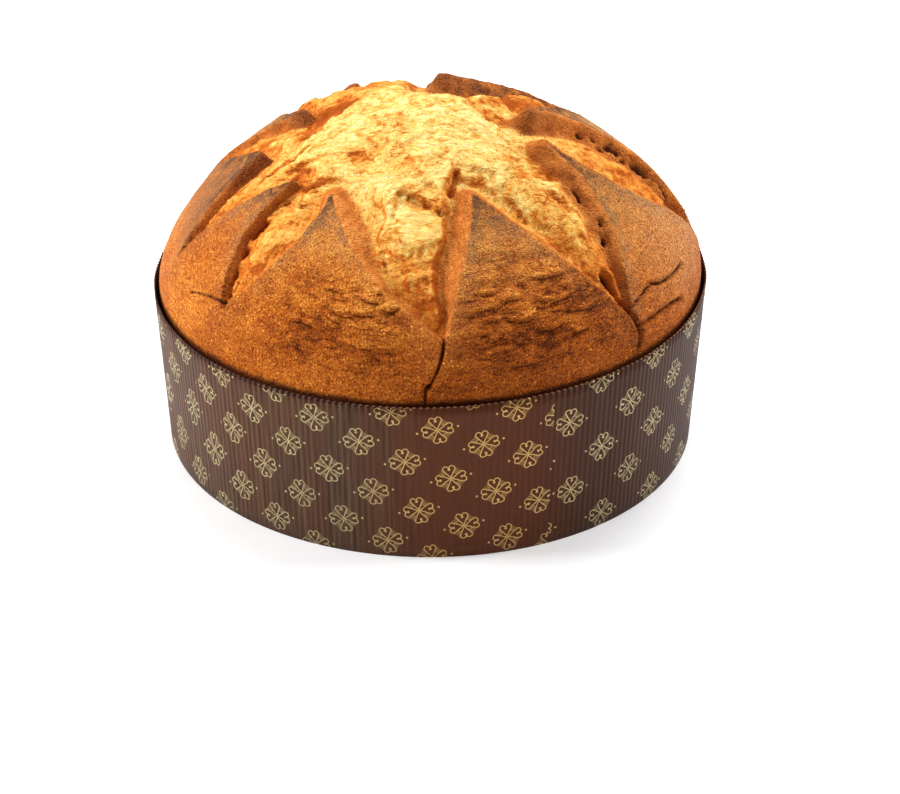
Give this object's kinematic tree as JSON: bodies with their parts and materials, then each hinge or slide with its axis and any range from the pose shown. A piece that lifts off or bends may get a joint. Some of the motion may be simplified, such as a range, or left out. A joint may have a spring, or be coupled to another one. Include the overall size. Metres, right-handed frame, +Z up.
{
  "type": "panettone",
  "caption": "Low, wide panettone: a domed sweet loaf with a star-shaped torn crust, standing in its fluted brown paper baking case.",
  "frame": {"origin": "centre of the paper case's flat base, on the surface that the part stands on", "axes": "+Z up through the dome, -Y the side that the picture looks at, +X to its right"},
  "size_m": [0.21, 0.21, 0.1348],
  "materials": {
    "loaf": "dry baked crust around pale torn crumb",
    "paper": "thin brown fluted paper with a faint sheen"
  },
  "bodies": {
    "root": {"loaf": "loaf", "paper_case": "paper"}
  },
  "joints": []
}
